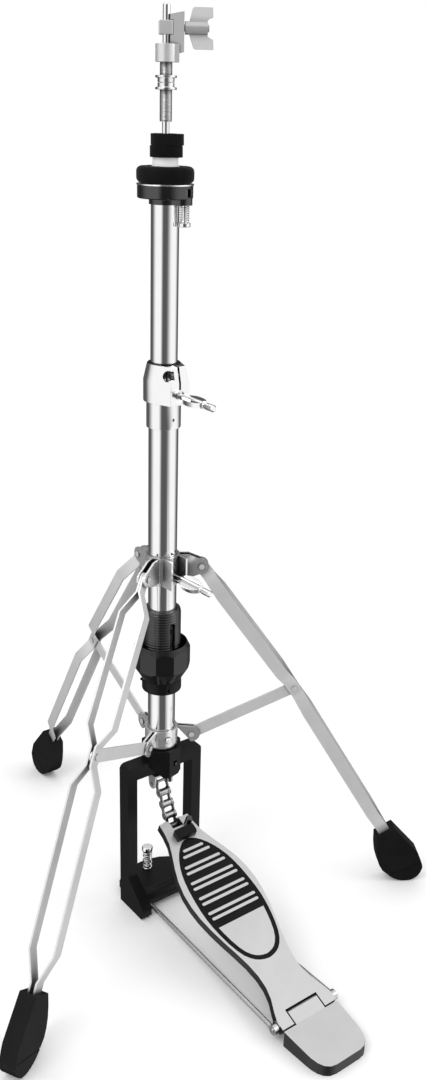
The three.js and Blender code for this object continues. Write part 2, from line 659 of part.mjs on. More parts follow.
function rivet(r, z, reach) {
  const heads = [-1, 1].map((side) => bar(
    [r, side * reach, z], [r, side * (reach + RIVET.headHeight), z], RIVET.head, 10,
  ));
  return [rivetBar(r, z, reach + 0.5, RIVET.radius), ...heads];
}

const EAR_SHEET = 2;
const STRIP_AT_TOP = LEG.sheet / 2 + GAP / 2; // sideways place of a strip between the upper ears
const STRIP_AT_BRACE = (BRACE.sheet + LEG.sheet) / 2 + GAP;
const UPPER_EAR = LEG.sheet + GAP / 2 + GAP; // inner face of the upper collar's ears
const LOWER_EAR = BRACE.sheet / 2 + GAP;

const upperLean = Math.atan2(LEG.midR - LEG.topR, LEG.topZ - LEG.midZ);
const upperLength = Math.hypot(LEG.midR - LEG.topR, LEG.topZ - LEG.midZ);
const lowerLean = rad(LEG.lowerLean);

// From the strip's own frame (X along it, Y sideways, Z across it) to the leg's frame.
function alongLeg(geometry) {
  const position = geometry.attributes.position;
  for (let i = 0; i < position.count; i += 1) {
    const s = position.getX(i);
    const w = position.getZ(i);
    const lower = s > upperLength;
    const lean = lower ? lowerLean : upperLean;
    const [r0, z0, rest] = lower ? [LEG.midR, LEG.midZ, s - upperLength] : [LEG.topR, LEG.topZ, s];
    const r = r0 + rest * Math.sin(lean) + w * Math.cos(lean);
    const z = z0 - rest * Math.cos(lean) + w * Math.sin(lean);
    position.setXYZ(i, r, position.getY(i), z);
  }
  return geometry;
}

// A leg strip bows sideways between its rivets and pinches together at the foot.
function legStrip(side) {
  const a = upperLength;
  const { spread, sheet, width, footEntry, lowerLength } = LEG;
  const stations = [
    [-width / 2, STRIP_AT_TOP], [14, STRIP_AT_TOP], [36, spread], [a - 28, spread],
    [a - 9, STRIP_AT_BRACE], [a + 9, STRIP_AT_BRACE], [a + 30, spread],
    [a + footEntry - 30, spread], [a + footEntry - 3, 3], [a + lowerLength, 3],
  ].map(([s, t]) => [s, side * t]);
  const outline = [
    ...stations.map(([s, t]) => [s, t - sheet / 2]),
    ...stations.map(([s, t]) => [s, t + sheet / 2]).reverse(),
  ];
  const bowed = prism(outline, -width / 2, width / 2);
  const face = stadium([0, 0], [a + lowerLength - width / 2, 0], width / 2);
  return alongLeg(common(bowed, upright(prism(face, -20, 20))));
}

// The right-hand strip carries the top rivet, and both carry a head of the middle rivet.
function legStripWithRivets(side) {
  const outer = STRIP_AT_BRACE + LEG.sheet / 2;
  const head = bar(
    [LEG.midR, side * (outer - 0.5), LEG.midZ], [LEG.midR, side * (outer + RIVET.headHeight), LEG.midZ],
    RIVET.head, 10,
  );
  const top = [LEG.topR, LEG.topZ];
  if (side > 0) return carve([legStrip(side), head, ...rivet(...top, UPPER_EAR + EAR_SHEET + GAP)]);
  return carve([legStrip(side), head], [rivetBar(...top, 10, RIVET.radius + 0.35)]);
}

// A moulded shoe with a pocket for the strips and a groove along each side.
const SHOE = { halfWidth: 9, groove: 0.8 };
function rubberFoot() {
  const shape = new THREE.Shape();
  shape.moveTo(243, 60);
  shape.lineTo(262, 72);
  shape.lineTo(292, 38);
  shape.quadraticCurveTo(300, ROUND, 299, 17);
  shape.quadraticCurveTo(296, 1, 281, 0.6);
  shape.quadraticCurveTo(268, 0.8, 258, 11);
  shape.quadraticCurveTo(243, ROUND, 243, 60);
  const { halfWidth, groove } = SHOE;
  const body = upright(prism(shape, -halfWidth, halfWidth));
  const pocketStart = upperLength + LEG.footEntry - 15;
  const pocketEnd = upperLength + LEG.lowerLength + 1;
  const across = LEG.width / 2 + GAP;
  const pocket = alongLeg(block([pocketStart, -4.4, -across], [pocketEnd, 4.4, across]));
  const grooves = [-halfWidth, halfWidth].map((y) => bar([296, y, 23.4], [258, y, 8.6], groove, 6));
  return carve([body], [pocket, ...grooves]);
}

// A brace is a flat bar, riveted to the lower collar and held between the strips at its outer end.
function brace() {
  const low = [BRACE.lowR, BRACE.lowZ];
  const face = stadium(low, [LEG.midR, LEG.midZ], BRACE.width / 2);
  const flat = upright(prism(face, -BRACE.sheet / 2, BRACE.sheet / 2));
  const hole = rivetBar(LEG.midR, LEG.midZ, 5, RIVET.radius + 0.8);
  return carve([carve([flat], [hole]), ...rivet(...low, LOWER_EAR + EAR_SHEET + GAP)]);
}

for (const [key, group] of Object.entries(legGroups)) {
  part(`leg_${key}_strip_left`, legStripWithRivets(-1), 'chrome', group);
  part(`leg_${key}_strip_right`, legStripWithRivets(1), 'chrome', group);
  part(`foot_${key}`, rubberFoot(), 'rubber', group);
  part(`brace_${key}`, brace(), 'chrome', group);
}

// Two ears beside each leg or brace, with a hole for its rivet.
function earPair(outline, inner, r, z, angle) {
  const plates = [-inner - EAR_SHEET, inner].map((y) => upright(prism(outline, -y - EAR_SHEET, -y)));
  return carve([carve(plates)], [rivetBar(r, z, 10, RIVET.radius + 0.35)]).rotateZ(rad(angle));
}

function lowerCollar() {
  const { radius, bottom, top, ear } = LOWER_COLLAR;
  const outline = new THREE.Shape();
  outline.moveTo(TUBE_BORE + 1, bottom);
  outline.absarc(BRACE.lowR, BRACE.lowZ, ear, -Math.PI / 2, Math.PI / 2, false);
  outline.lineTo(TUBE_BORE + 1, top);
  const ears = Object.values(LEG_ANGLES).map((angle) => (
    earPair(outline, LOWER_EAR, BRACE.lowR, BRACE.lowZ, angle)
  ));
  return carve([ring(TUBE_BORE, radius, bottom, top, ROUND), ...ears], [
    radialBar(LOWER_SCREW.angle, LOWER_SCREW.z, 10, 24, 2.3),
  ]);
}
part('lower_collar', lowerCollar(), 'chrome', tripod);

// Lays a screw modelled along +Z out from the tube at an angle and a height.
const radialScrew = (geometry, angle, z) => (
  geometry.rotateY(Math.PI / 2).rotateZ(rad(angle)).translate(0, 0, z)
);

part('lower_collar_screw', radialScrew(turned([
  [0, 14.8], [2, 14.8], [2, 17.6], [3.6, 17.6], [3.6, 18.4], [2.6, 19.6], [0, 19.6],
], 12), LOWER_SCREW.angle, LOWER_SCREW.z), 'chrome', tripod);

// The upper collar has three pairs of ears and two lips beside its wing screw.
function upperCollar() {
  const { radius, bottom, top, ear, lip, lipReach } = UPPER_COLLAR;
  const outline = new THREE.Shape();
  outline.moveTo(TUBE_BORE + 1, bottom + 4);
  outline.lineTo(26, bottom + 4);
  outline.absarc(LEG.topR, LEG.topZ, ear, -0.4 * Math.PI, 0.5 * Math.PI, false);
  outline.lineTo(26, top - 1);
  outline.lineTo(TUBE_BORE + 1, top - 1);
  const ears = Object.values(LEG_ANGLES).map((angle) => (
    earPair(outline, UPPER_EAR, LEG.topR, LEG.topZ, angle)
  ));
  const start = Math.sqrt(TUBE_BORE ** 2 - lip ** 2) + 2;
  const lips = [-lip - 1, lip - 1].map((x) => block([x, -lipReach, bottom], [x + 2, -start, top])
    .rotateZ(rad(TRIPOD_SCREW.angle + 90)));
  return carve([ring(TUBE_BORE, radius, bottom, top, ROUND), ...ears, ...lips], [
    radialBar(TRIPOD_SCREW.angle, TRIPOD_SCREW.z, 10, 24, 3.35),
  ]);
}
part('upper_collar', upperCollar(), 'chrome', tripod);

// A wing screw along +Z: a threaded shaft, a flat wing with a round barrel, a neck and a knob.
const WING = { length: 29.5, halfThickness: 2.4, barrel: 3.9, neck: 2.5, knob: 3.3 };
function wingScrew(tip, shaft) {
  const start = tip + shaft;
  const end = start + WING.length;
  const wing = new THREE.Shape();
  wing.moveTo(start + 0.5, 3.6);
  wing.bezierCurveTo(start + 6, 8, start + 11, 8.2, start + 16, 8);
  wing.bezierCurveTo(start + 22, 7.8, end - 4, 6.4, end - 0.5, 3);
  wing.lineTo(end - 0.5, -3);
  wing.bezierCurveTo(end - 4, -6.4, start + 22, -7.8, start + 16, -8);
  wing.bezierCurveTo(start + 11, -8.2, start + 6, -8, start + 0.5, -3.6);
  const { halfThickness: h, barrel, neck, knob } = WING;
  const core = turned([
    [0, tip], [3, tip], [3, start], [barrel, start], [barrel, end], [neck, end + 0.6], [neck, end + 3.6],
    [knob, end + 4.2], [knob, end + 13.8], [knob - 1.1, end + 15], [0, end + 15],
  ], 14);
  return carve([core, prism(wing, -h, h).rotateY(-Math.PI / 2)]);
}

function placedWingScrew({ angle, z, tip, shaft, roll }) {
  return radialScrew(wingScrew(tip, shaft).rotateZ(rad(roll)), angle, z);
}
part('tripod_wing_screw', placedWingScrew(TRIPOD_SCREW), 'chrome', tripod);

// ---------------------------------------------------------------- height clamp and upper tube

// The clamp is round at the back and tapers to a split boss in front.
function clampOutline(inset) {
  const { radius, boss, front } = CLAMP;
  const shape = new THREE.Shape();
  shape.moveTo(-boss + inset, front + inset);
  shape.lineTo(boss - inset, front + inset);
  shape.absarc(0, 0, radius - inset, rad(-25), rad(205), false);
  return shape;
}

function heightClamp() {
  const { bottom, shoulder, top, bevel } = CLAMP;
  const options = {
    depth: shoulder - bottom, bevelEnabled: true, bevelThickness: top - shoulder, bevelSize: bevel,
    bevelOffset: -bevel, bevelSegments: 1, curveSegments: 8,
  };
  const bevelled = cleaned(new THREE.ExtrudeGeometry(clampOutline(0), options)).translate(0, 0, bottom);
  const body = common(bevelled, block([-40, -40, bottom], [40, 40, top]));
  const skirt = ring(TUBE_BORE, CLAMP_SKIRT.radius, CLAMP_SKIRT.bottom, bottom + 1, ROUND);
  return carve([body, skirt], [
    disc(TUBE_BORE, bottom - 1, top + 1, ROUND),
    disc(BUSHING.radius + GAP, BUSHING.bottom - GAP, top + 1, ROUND),
    block([-CLAMP_SLIT.halfWidth, -40, CLAMP_SLIT.bottom], [CLAMP_SLIT.halfWidth, -8, top + 1]),
    radialBar(CLAMP_SCREW.angle, CLAMP_SCREW.z, 10, 40, 3.35),
    radialBar(CLAMP_SCREW.angle, CLAMP_SCREW.z, 24, 40, 5.4),
    radialBar(-90, 546, 10, 24, 1.6),
    bar([-20, CLAMP_KEY.y, CLAMP_KEY.z], [20, CLAMP_KEY.y, CLAMP_KEY.z], 3, 10),
    bar([-20, CLAMP_KEY.y, CLAMP_KEY.z], [-5.6, CLAMP_KEY.y, CLAMP_KEY.z], 5.2, 14),
  ]);
}
const BUSHING = { bore: UPPER_TUBE.radius + GAP, radius: 15.2, bottom: LOWER_TUBE.top + GAP, top: 598.8 };
part('height_clamp', heightClamp(), 'chrome');

part('clamp_bushing', carve(
  [ring(BUSHING.bore, BUSHING.radius, BUSHING.bottom, BUSHING.top, ROUND)],
  [block([-CLAMP_SLIT.halfWidth, -40, BUSHING.bottom - 1], [CLAMP_SLIT.halfWidth, -8, BUSHING.top + 1])],
), 'blackPlastic');

function clampKeyBolt() {
  const { y, z } = CLAMP_KEY;
  return carve([
    bar([-6.2, y, z], [8.4, y, z], 2.6, 10), bar([-9.2, y, z], [-6, y, z], 4.1, 14),
  ], [bar([-12, y, z], [-7.2, y, z], 1.8, 6)]);
}
part('clamp_key_bolt', clampKeyBolt(), 'chrome');

part('height_wing_screw', placedWingScrew(CLAMP_SCREW), 'chrome');

part('upper_tube', ring(
  UPPER_TUBE.radius - UPPER_TUBE.wall, UPPER_TUBE.radius, UPPER_TUBE.bottom, UPPER_TUBE.top, ROUND,
), 'chrome');

// ---------------------------------------------------------------- cymbal seat

const tiltScrewAt = polar(TILT_SCREW.radius, TILT_SCREW.turn);

// A cup on a boss, with a window where the tilt screw comes through.
function seatCup() {
  const { radius, bottom, top, bossBottom, bossRadius } = SEAT;
  const cup = turned([
    [0, bottom], [radius - 0.8, bottom], [radius, bottom + 0.8], [radius, top], [0, top],
  ], 24);
  const lobe = stadium([0, 0], polar(16.6, TILT_SCREW.turn), bossRadius - 5.4);
  const boss = prism(lobe, bossBottom, bottom + 1);
  const window = block([12.5, -6.2, bottom + 2], [40, 6.2, top - 2]).rotateZ(rad(TILT_SCREW.turn));
  return carve([cup, boss, disc(bossRadius, bossBottom, bottom + 1, 24)], [
    disc(UPPER_TUBE.radius + GAP, bossBottom - 1, UPPER_TUBE.top + GAP, ROUND),
    disc(10, bottom - 2, top + 1, 20),
    window,
    disc(3, bossBottom - 1, top + 1, 12).translate(...tiltScrewAt, 0),
  ]);
}
part('seat_cup', seatCup(), 'blackPlastic');

part('tilt_screw', turned([
  [0, TILT_SCREW.headBottom], [5, TILT_SCREW.headBottom], [5.6, TILT_SCREW.headBottom + 0.8],
  [5.6, TILT_SCREW.headTop], [2.6, TILT_SCREW.headTop], [2.6, TILT_SCREW.top - 1], [1.6, TILT_SCREW.top],
  [0, TILT_SCREW.top],
], 16).translate(...tiltScrewAt, 0), 'chrome');

part('tilt_spring', coil(3.8, 0.55, TILT_SCREW.headTop + GAP, SEAT.bossBottom - GAP, 6)
  .translate(...tiltScrewAt, 0), 'steel');

part('tilt_washer', ring(WASHER.bore, WASHER.radius, WASHER.bottom, WASHER.top, 24), 'chrome');

part('seat_felt', turned([
  [FELT.bore, FELT.bottom], [FELT.radius - FELT.round, FELT.bottom],
  [FELT.radius, FELT.bottom + FELT.round], [FELT.radius, FELT.top - FELT.round],
  [FELT.radius - FELT.round, FELT.top], [FELT.bore, FELT.top],
], 24), 'felt');

part('seat_sleeve', turned([
  [NYLON.bore, NYLON.bottom], [NYLON.stem, NYLON.bottom], [NYLON.stem, NYLON.step],
  [NYLON.body, NYLON.step], [NYLON.body, NYLON.shoulder], [NYLON.radius, NYLON.shoulder + 1.2],
  [NYLON.radius, NYLON.top], [NYLON.bore, NYLON.top],
], 24), 'nylon');

['lower', 'upper'].forEach((place, i) => {
  const { radius, bore, height, turn, offsets } = LOOSE_FELT;
  const bottom = LOOSE_FELT.bottom + i * (height + GAP);
  const felt = ring(bore, radius, bottom, bottom + height, 24).translate(...polar(offsets[i], turn), 0);
  part(`loose_felt_${place}`, felt, 'felt');
});

// ---------------------------------------------------------------- clutch

const clutch = turnedGroup(CLUTCH.turn);
const rodBore = ROD.radius + 0.25;

// A threaded tube, a round collar and an arm that the eye bolt passes through.
function clutchBody() {
  const { tubeBottom, tubeRadius, collar, collarBottom, collarTop } = CLUTCH;
  const { from, to, halfDepth, top } = CLUTCH_ARM;
  const arm = upright(prism([
    [from, collarTop - 6], [to - 4, collarBottom], [to - 4, collarTop - 7], [to, collarTop - 6],
    [to, top], [from, top - 2.4],
  ], -halfDepth, halfDepth));
  return carve([
    disc(tubeRadius, tubeBottom, collarBottom + 1, 16),
    disc(collar, collarBottom, collarTop, 24),
    block([0, -6, collarBottom], [to - 4, 6, collarTop]),
    arm,
  ], [
    disc(rodBore, tubeBottom - 1, top + 1, 16),
    block([-10, -8, EYE.bottom - GAP], [EYE.front + GAP, 8, EYE.top + GAP]),
    bar([0, 0, eyeZ], [30, 0, eyeZ], EYE.shaftRadius + GAP, 12),
  ]);
}
const eyeZ = (EYE.bottom + EYE.top) / 2;
part('clutch_body', clutchBody(), 'chrome', clutch);

part('clutch_eye_bolt', carve([
  block([EYE.back, -EYE.halfDepth, EYE.bottom], [EYE.front, EYE.halfDepth, EYE.top]),
  bar([EYE.front - 1, 0, eyeZ], [EYE.shaftEnd, 0, eyeZ], EYE.shaftRadius, 12),
], [disc(rodBore, EYE.bottom - 1, EYE.top + 1, 16)]), 'chrome', clutch);

// Two wings beside a round hub. Seen along the screw they bend opposite ways, like a shallow S.
const WING_NUT = { length: 23.6, hub: 5.2, hubLength: 19, tip: 16.5, bend: 6.5, sheet: 2.6, steps: 8 };
function bentSheet(reach) {
  const { bend, sheet, steps } = WING_NUT;
  const centre = Array.from({ length: 2 * steps + 1 }, (_, i) => {
    const t = (i - steps) / steps;
    return [bend * t * Math.abs(t), reach * t];
  });
  const side = (offset) => centre.map(([y, z]) => [y + offset, z]);
  return [...side(sheet / 2), ...side(-sheet / 2).reverse()];
}

function clutchWingNut() {
  const { length, hub, hubLength, tip } = WING_NUT;
  const start = CLUTCH_ARM.to + GAP + 0.5;
  const wing = new THREE.Shape();
  wing.moveTo(start + 2, 0);
  wing.lineTo(start + 6.5, tip - 2);
  wing.quadraticCurveTo(start + 7, tip, start + 9, tip);
  wing.lineTo(start + length, tip);
  wing.lineTo(start + length, 8.5);
  wing.quadraticCurveTo(start + 17.5, 7.5, start + 17.5, 0);
  const face = upright(prism(wing, -12, 12));
  const bothFaces = carve([face, face.clone().rotateX(Math.PI)]);
  const sheet = sideways(prism(bentSheet(tip + 1), start - 1, start + length + 1));
  const wings = common(bothFaces, sheet);
  const hubBar = bar([start, 0, 0], [start + hubLength, 0, 0], hub, 14);
  const bore = bar([0, 0, 0], [60, 0, 0], EYE.shaftRadius + GAP, 12);
  return carve([hubBar, wings], [bore]).translate(0, 0, eyeZ);
}
part('clutch_wing_nut', clutchWingNut(), 'chrome', clutch);

// Each lock nut is a short barrel with a flange on its outer side.
function lockNut(away) {
  const { middle, height, radius, flange } = LOCK_NUTS;
  const bore = CLUTCH.tubeRadius + GAP;
  const profile = [
    [bore, 0.2], [radius, 0.2], [radius, height - 2.2], [flange, height - 1.8], [flange, height],
    [bore, height],
  ];
  const nut = turned(profile, 20);
  return (away > 0 ? nut : nut.rotateX(Math.PI)).translate(0, 0, middle);
}
part('clutch_nut_upper', lockNut(1), 'chrome', clutch);
part('clutch_nut_lower', lockNut(-1), 'chrome', clutch);

export default stand;
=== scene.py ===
"""Looks for the hi-hat stand: materials, felts, threads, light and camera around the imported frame."""

import json
import math

import bmesh
import bpy
from mathutils import Matrix, Vector, noise


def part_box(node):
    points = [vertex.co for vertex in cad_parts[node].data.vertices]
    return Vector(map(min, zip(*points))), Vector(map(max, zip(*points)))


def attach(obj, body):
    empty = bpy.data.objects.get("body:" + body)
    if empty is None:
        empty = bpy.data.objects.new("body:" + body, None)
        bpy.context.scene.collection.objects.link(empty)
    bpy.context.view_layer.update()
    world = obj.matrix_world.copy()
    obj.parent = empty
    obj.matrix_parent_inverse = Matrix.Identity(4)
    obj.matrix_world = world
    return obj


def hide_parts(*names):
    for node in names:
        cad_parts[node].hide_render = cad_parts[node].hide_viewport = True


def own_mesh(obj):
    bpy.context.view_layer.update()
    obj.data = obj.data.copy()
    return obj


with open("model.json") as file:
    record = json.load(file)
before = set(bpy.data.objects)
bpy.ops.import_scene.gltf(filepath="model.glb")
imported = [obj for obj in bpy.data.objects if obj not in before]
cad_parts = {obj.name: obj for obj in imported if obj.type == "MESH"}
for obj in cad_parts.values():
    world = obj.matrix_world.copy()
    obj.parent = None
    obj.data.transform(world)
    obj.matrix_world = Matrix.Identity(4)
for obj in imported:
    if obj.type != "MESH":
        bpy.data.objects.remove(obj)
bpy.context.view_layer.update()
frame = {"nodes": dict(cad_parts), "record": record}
MM = 0.001

# ---------------------------------------------------------------- material helpers


class Tree:
    """A few shorthands for building a node tree."""

    def __init__(self, tree):
        self.tree = tree
        tree.nodes.clear()

    def add(self, kind, **values):
        node = self.tree.nodes.new(kind)
        for key, value in values.items():
            if hasattr(node, key):
                setattr(node, key, value)
            else:
                node.inputs[key.replace("_", " ")].default_value = value
        return node

    def link(self, source, target):
        self.tree.links.new(source, target)

    def noise(self, scale, detail):
        """Noise in the object's own metres: features are about 1/scale metres across."""
        place = self.add("ShaderNodeTexCoord")
        texture = self.add("ShaderNodeTexNoise", Scale=scale, Detail=detail, Roughness=0.6)
        self.link(place.outputs["Object"], texture.inputs["Vector"])
        return texture.outputs["Fac"]

    def spread(self, source, low, high, start=0.3, end=0.7):
        """Maps start..end of a value to low..high."""
        node = self.add("ShaderNodeMapRange")
        values = (start, end, low, high)
        for name, value in zip(("From Min", "From Max", "To Min", "To Max"), values):
            node.inputs[name].default_value = value
        self.link(source, node.inputs["Value"])
        return node.outputs["Result"]

    def blend(self, factor, first, second):
        """Mixes two colours, each a socket or an RGB triple."""
        node = self.add("ShaderNodeMix", data_type="RGBA")
        for colour, index in ((first, 6), (second, 7)):
            if isinstance(colour, tuple):
                node.inputs[index].default_value = (*colour, 1)
            else:
                self.link(colour, node.inputs[index])
        if isinstance(factor, float):
            node.inputs[0].default_value = factor
        else:
            self.link(factor, node.inputs[0])
        return node.outputs[2]

    def bump(self, height, strength, distance):
        node = self.add("ShaderNodeBump", Strength=strength, Distance=distance)
        self.link(height, node.inputs["Height"])
        return node.outputs["Normal"]


def shade(colour, factor):
    return tuple(channel * factor for channel in colour)


CREASE_SHADE_REACH = 0.03  # metres over which painted shade darkens a crease


def surface(
        name, colour, metallic, rough, grain, spots=0.15, bump=0.0, sheen=0.0, specular=0.5, crease_shade=0.0):
    """A material with cloudy colour, a fine grain in its roughness, a bump of the same grain, and, where
    asked, painted shade in its crevices.
    """
    material = bpy.data.materials.new(name)
    material.use_nodes = True
    tree = Tree(material.node_tree)
    out = tree.add("ShaderNodeOutputMaterial")
    shader = tree.add("ShaderNodeBsdfPrincipled", Metallic=metallic)
    tree.link(shader.outputs["BSDF"], out.inputs["Surface"])
    clouds = tree.noise(35.0, 3.0)
    fine = tree.noise(grain, 6.0)
    dark, light = shade(colour, 1.0 - spots), shade(colour, 1.0 + 0.5 * spots)
    tint = tree.blend(tree.spread(clouds, 0.0, 1.0), dark, light)
    if crease_shade:
        # Painted shade: ambient occlusion darkens the base colour in crevices and between parts.
        around = tree.add("ShaderNodeAmbientOcclusion", Distance=CREASE_SHADE_REACH, samples=8)
        unshaded_share = tree.spread(around.outputs["AO"], 0.0, 1.0, 0.35, 0.85)
        tint = tree.blend(unshaded_share, shade(colour, 1.0 - crease_shade), tint)
    tree.link(tint, shader.inputs["Base Color"])
    tree.link(tree.spread(fine, rough[0], rough[1]), shader.inputs["Roughness"])
    if bump:
        tree.link(tree.bump(fine, bump, 0.0004), shader.inputs["Normal"])
    shader.inputs["Sheen Weight"].default_value = sheen
    shader.inputs["Sheen Roughness"].default_value = 0.4
    shader.inputs["Specular IOR Level"].default_value = specular
    return material, tree, shader, tint


def footboard_alloy():
    """Polished and brushed where it faces up, black paint with worn edges on its sides."""
    material, tree, shader, tint = surface(
        "alloy", (0.60, 0.60, 0.605), 0.6, (0.34, 0.46), 1500.0, spots=0.04, bump=0.03)
    normal = tree.add("ShaderNodeNewGeometry")
    turn = tree.add(
        "ShaderNodeVectorTransform", vector_type="NORMAL", convert_from="WORLD", convert_to="OBJECT")
    split = tree.add("ShaderNodeSeparateXYZ")
    tree.link(normal.outputs["Normal"], turn.inputs["Vector"])
    tree.link(turn.outputs["Vector"], split.inputs["Vector"])
    side = tree.spread(split.outputs["Z"], 1.0, 0.0, 0.72, 0.84)
    tree.link(tree.blend(side, tint, (0.012, 0.012, 0.013)), shader.inputs["Base Color"])
    metal = tree.spread(side, 0.6, 0.1, 0.0, 1.0)
    tree.link(metal, shader.inputs["Metallic"])
    return material


# name: (grey, metallic, (least and most roughness), grain, options)
# Some rows paint shade into crevices and between parts: their last option is how far the colour darkens
# there.
PLAIN_MATERIALS = {
    "chrome": (0.93, 1.0, (0.04, 0.08), 500, {"spots": 0.02, "bump": 0.004}),
    "satin_plate": (0.725, 0.45, (0.28, 0.38), 900, {"spots": 0.04, "bump": 0.02, "crease_shade": 0.9}),
    "collar_plate": (0.845, 0.8, (0.14, 0.2), 900, {"spots": 0.03, "bump": 0.01, "crease_shade": 0.93}),
    "die_cast": (0.665, 0.5, (0.2, 0.26), 1200, {"spots": 0.04, "bump": 0.008, "crease_shade": 0.85}),
    # A darker copy of die_cast: painted shade for the clutch wing nut.
    "shaded_die_cast": (0.505, 0.5, (0.2, 0.26), 1200, {"spots": 0.04, "bump": 0.008, "crease_shade": 0.85}),
    "steel": (0.635, 1.0, (0.18, 0.32), 700, {"spots": 0.12, "bump": 0.04}),
    "bright_steel": (0.87, 1.0, (0.08, 0.14), 700, {"spots": 0.05, "bump": 0.01}),
    "link_steel": (0.425, 0.9, (0.2, 0.32), 900, {"spots": 0.1, "bump": 0.04, "crease_shade": 0.95}),
    "dark_steel": (0.105, 1.0, (0.18, 0.3), 700, {"spots": 0.2, "bump": 0.04}),
    "black_casting": (0.006, 0.0, (0.3, 0.42), 1400, {"spots": 0.3, "bump": 0.08, "specular": 0.13}),
    "black_plastic": (0.007, 0.0, (0.26, 0.36), 1100, {"spots": 0.25, "bump": 0.05, "specular": 0.13}),
    "gloss_plastic": (0.006, 0.0, (0.14, 0.2), 900, {"spots": 0.2, "bump": 0.02}),
    "polished_plastic": (0.005, 0.0, (0.08, 0.13), 900, {"spots": 0.2, "bump": 0.01, "specular": 1.0}),
    "black_rubber": (0.006, 0.0, (0.4, 0.55), 1300, {"spots": 0.3, "bump": 0.1, "specular": 0.13}),
    "black_felt": (0.006, 0.0, (0.9, 1.0), 1500, {"spots": 0.5, "bump": 0.7, "specular": 0.1, "sheen": 0.06}),
    "white_nylon": (0.88, 0.0, (0.35, 0.5), 600, {"spots": 0.04, "bump": 0.03}),
}


def make_materials():
    made = {"alloy": footboard_alloy()}
    for name, (grey, metallic, rough, grain, options) in PLAIN_MATERIALS.items():
        made[name] = surface(name, (grey, grey, grey), metallic, rough, grain, **options)[0]
    return made


materials = make_materials()
slots = {entry["node"]: entry["material_slot"] for entry in frame["record"]["subparts"]}

# Parts whose finish differs from their slot's usual look, by the start of their node's name.
FINISHES = {
    "leg_": "satin_plate", "brace_": "satin_plate",
    "upper_collar": "collar_plate", "lower_collar": "collar_plate",
    # The clutch wing nut takes the darker copy of die_cast as painted shade.
    "clutch_nut": "bright_steel", "clutch_wing_nut": "shaded_die_cast", "clutch_": "die_cast",
    "chain_clevis": "die_cast", "radius_rod": "steel", "chain_link": "link_steel",
    "seat_cup": "polished_plastic", "tension_nut": "gloss_plastic", "clamp_key_bolt": "dark_steel",
    "hub_key_screw": "dark_steel",
}


def dress(obj, node):
    look = next((finish for start, finish in FINISHES.items() if node.startswith(start)), slots[node])
    obj.data.materials.clear()
    obj.data.materials.append(materials[look])


# ---------------------------------------------------------------- carried-over CAD parts

SHARP = 42  # degrees: only edges sharper than this are rounded
SHARP_NUT = 25
WELD = 0.02  # millimetres
EDGE_ROUNDING = {  # millimetres
    "pedal_frame": 1.2, "heel_plate": 1.0, "footboard": 0.7, "toe_block": 1.0, "height_clamp": 0.6,
    "foot_a": 2.4, "foot_b": 2.4, "foot_c": 2.4, "tension_nut": 0.9, "seat_cup": 0.5, "clutch_body": 0.7,
    "clutch_wing_nut": 0.6, "clutch_eye_bolt": 1.0, "tripod_wing_screw": 0.8, "height_wing_screw": 0.8,
    "upper_collar": 0.35, "lower_collar": 0.35, "chain_clevis": 0.4, "clamp_key_bolt": 0.3,
}


def finish_node(name, obj):
    """Welds the node's triangles, rounds its sharp edges and evens its normals, all as modifiers."""
    dress(obj, name)
    mesh = obj.data
    if "custom_normal" in mesh.attributes:
        mesh.attributes.remove(mesh.attributes["custom_normal"])
    for polygon in mesh.polygons:
        polygon.use_smooth = True
    weld = obj.modifiers.new("weld", "WELD")
    weld.merge_threshold = WELD * MM
    bevel = obj.modifiers.new("edges", "BEVEL")
    bevel.width = EDGE_ROUNDING.get(name, 0.2) * MM
    bevel.segments = 2
    bevel.limit_method = "ANGLE"
    bevel.angle_limit = math.radians(SHARP_NUT if name == "tension_nut" else SHARP)
    bevel.use_clamp_overlap = True
    normals = obj.modifiers.new("normals", "WEIGHTED_NORMAL")
    normals.mode = "FACE_AREA_WITH_ANGLE"
    normals.weight = 50


for name, obj in frame["nodes"].items():
    finish_node(name, obj)


# ---------------------------------------------------------------- mesh helpers


def new_object(name, mesh, body, slot, *replaced, look=None):
    obj = bpy.data.objects.new(name, mesh)
    bpy.context.collection.objects.link(obj)
    obj.data.materials.append(materials[look or slot])
    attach(obj, body)
    if replaced:
        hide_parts(*replaced)
    return obj


def lathe(name, profile, centre, sides=96, wobble=None):
    """A solid of revolution from a closed [radius, height] profile in metres."""
    mesh = bpy.data.meshes.new(name)
    build = bmesh.new()
    rings = []
    for i in range(sides):
        angle = 2 * math.pi * i / sides
        way = Vector((math.cos(angle), math.sin(angle), 0))
        points = []
        for radius, height in profile:
            place = way * radius + Vector((0, 0, height))
            if wobble:
                place = wobble(place)
            points.append(build.verts.new(place + Vector((*centre, 0))))
        rings.append(points)
    count = len(profile)
    for i in range(sides):
        near, far = rings[i], rings[(i + 1) % sides]
        for j in range(count):
            k = (j + 1) % count
            build.faces.new((near[j], far[j], far[k], near[k]))
    build.normal_update()
    build.to_mesh(mesh)
    build.free()
    for polygon in mesh.polygons:
        polygon.use_smooth = True
    return mesh


def middle(node):
    low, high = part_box(node)
    return (low[0] + high[0]) / 2, (low[1] + high[1]) / 2


# ---------------------------------------------------------------- felts

FELT_LUMP = 0.45 * MM


def felt_profile(inner, outer, low, high, round_edge, steps=7):
    """A rounded rectangle: square inside, its outer corners rounded."""
    points = [(inner, high), (inner, (low + high) / 2), (inner, low)]
    corners = [(outer - round_edge, low + round_edge, -90, 0), (outer - round_edge, high - round_edge, 0, 90)]
    points += [(inner + (outer - round_edge - inner) * t, low) for t in (0.25, 0.5, 0.75)]
    for radius, height, start, end in corners:
        for i in range(steps + 1):
            angle = math.radians(start + (end - start) * i / steps)
            points.append((radius + round_edge * math.cos(angle), height + round_edge * math.sin(angle)))
    points += [(inner + (outer - round_edge - inner) * t, high) for t in (0.75, 0.5, 0.25)]
    return points


